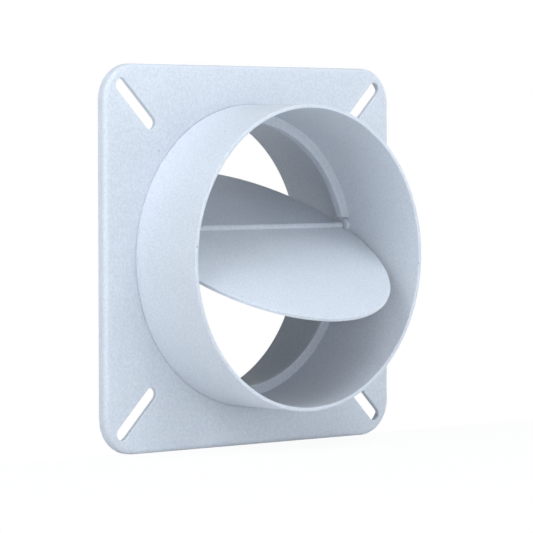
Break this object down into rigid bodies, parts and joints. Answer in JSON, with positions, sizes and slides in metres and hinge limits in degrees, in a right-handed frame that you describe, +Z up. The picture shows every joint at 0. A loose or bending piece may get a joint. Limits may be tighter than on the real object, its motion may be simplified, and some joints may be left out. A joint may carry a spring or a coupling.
{
  "type": "backdraft damper",
  "caption": "Square wall plate with slotted corners and a round duct spigot, holding a hinged round flap that opens to let air out and falls shut against half-ring seats.",
  "frame": {"origin": "on the duct axis, in the plane where the wall plate's border meets the wall", "axes": "+X to the right seen from the room, +Y into the wall along the duct, +Z up; the hinge line runs along X above the duct axis"},
  "size_m": [0.188, 0.1215, 0.188],
  "materials": {
    "housing": "smooth moulded plastic, faintly blue white, soft sheen",
    "flap": "smooth moulded plastic, faintly blue white, soft sheen"
  },
  "bodies": {
    "housing": {"housing": "housing"},
    "flap": {"flap": "flap"}
  },
  "joints": [
    {"name": "flap_hinge", "type": "hinge", "parent": "housing", "child": "flap", "pos_m": [0, 0.0025, 0.0138], "axis": [-1, 0, 0], "range_deg": [-59.6, 28.4]}
  ]
}
